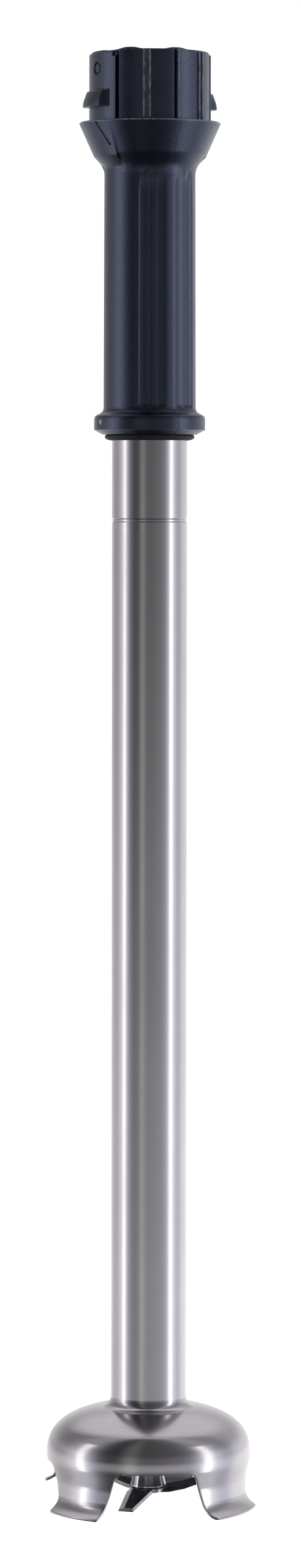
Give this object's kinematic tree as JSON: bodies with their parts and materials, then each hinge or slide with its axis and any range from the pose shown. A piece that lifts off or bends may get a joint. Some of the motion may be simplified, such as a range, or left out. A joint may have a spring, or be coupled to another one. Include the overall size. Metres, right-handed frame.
{
  "type": "immersion blender arm",
  "caption": "Detachable stainless blending arm with a black bayonet coupling and grip, a footed bell guard and a spinning three-wing blade.",
  "frame": {"origin": "on the tube axis, in the plane of the collar rim where the motor unit seats", "axes": "+Z along the tube axis towards the motor unit, -Y towards the wide opening between the two front feet of the bell"},
  "size_m": [0.1092, 0.1072, 0.7402],
  "materials": {
    "black_moulding": "fine spark-eroded texture",
    "black_rubber": "smooth matt",
    "brushed_stainless": "fine circumferential brushing",
    "blade_steel": "ground",
    "shaft_steel": "turned and ground",
    "bearing_steel": "polished",
    "spring_steel": "blued",
    "cast_aluminium": "machined",
    "bush_bronze": "machined",
    "cage_nylon": "natural nylon",
    "dog_nylon": "smooth",
    "zinc_screw": "zinc plated"
  },
  "bodies": {
    "arm": {"coupling_head": "black_moulding", "coupling_screws": "zinc_screw", "flange_gasket": "black_rubber", "upper_bearing_housing": "cast_aluminium", "dust_shield": "shaft_steel", "grip_shell_front": "black_moulding", "grip_shell_rear": "black_moulding", "grip_pins": "shaft_steel", "grip_seal_ring": "black_rubber", "upper_tube": "brushed_stainless", "tube_joint_sleeve": "brushed_stainless", "main_tube": "brushed_stainless", "bell_guard": "brushed_stainless", "upper_bearing_outer_ring": "bearing_steel", "lower_bearing_outer_ring": "bearing_steel", "upper_housing_circlip": "spring_steel", "lower_housing_circlip": "spring_steel", "lower_bearing_housing": "brushed_stainless", "housing_o_ring": "black_rubber", "shaft_seal": "black_rubber", "seal_garter_spring": "spring_steel", "seal_cover": "brushed_stainless", "upper_guide_bush": "bush_bronze", "upper_guide_carrier": "black_rubber", "lower_guide_bush": "bush_bronze", "lower_guide_carrier": "black_rubber"},
    "rotor": {"drive_shaft": "shaft_steel", "drive_dog": "dog_nylon", "drive_pin": "shaft_steel", "upper_bearing_inner_ring": "bearing_steel", "lower_bearing_inner_ring": "bearing_steel", "upper_shaft_circlip": "spring_steel", "lower_shaft_circlip": "spring_steel", "blade_hub": "blade_steel", "blade": "blade_steel", "blade_screw": "blade_steel"},
    "upper_cage": {"upper_bearing_cage": "cage_nylon", "upper_bearing_balls": "bearing_steel"},
    "lower_cage": {"lower_bearing_cage": "cage_nylon", "lower_bearing_balls": "bearing_steel"}
  },
  "joints": [
    {"name": "rotor_spin", "type": "hinge", "parent": "arm", "child": "rotor", "pos_m": [0, 0, -0.038], "axis": [0, 0, 1], "continuous": true},
    {"name": "upper_cage_spin", "type": "hinge", "parent": "arm", "child": "upper_cage", "pos_m": [0, 0, -0.038], "axis": [0, 0, 1], "continuous": true},
    {"name": "lower_cage_spin", "type": "hinge", "parent": "arm", "child": "lower_cage", "pos_m": [0, 0, -0.64], "axis": [0, 0, 1], "continuous": true}
  ],
  "couplings": [
    {"joint": "upper_cage_spin", "follows": "rotor_spin", "ratio": 0.385},
    {"joint": "lower_cage_spin", "follows": "rotor_spin", "ratio": 0.3722}
  ]
}
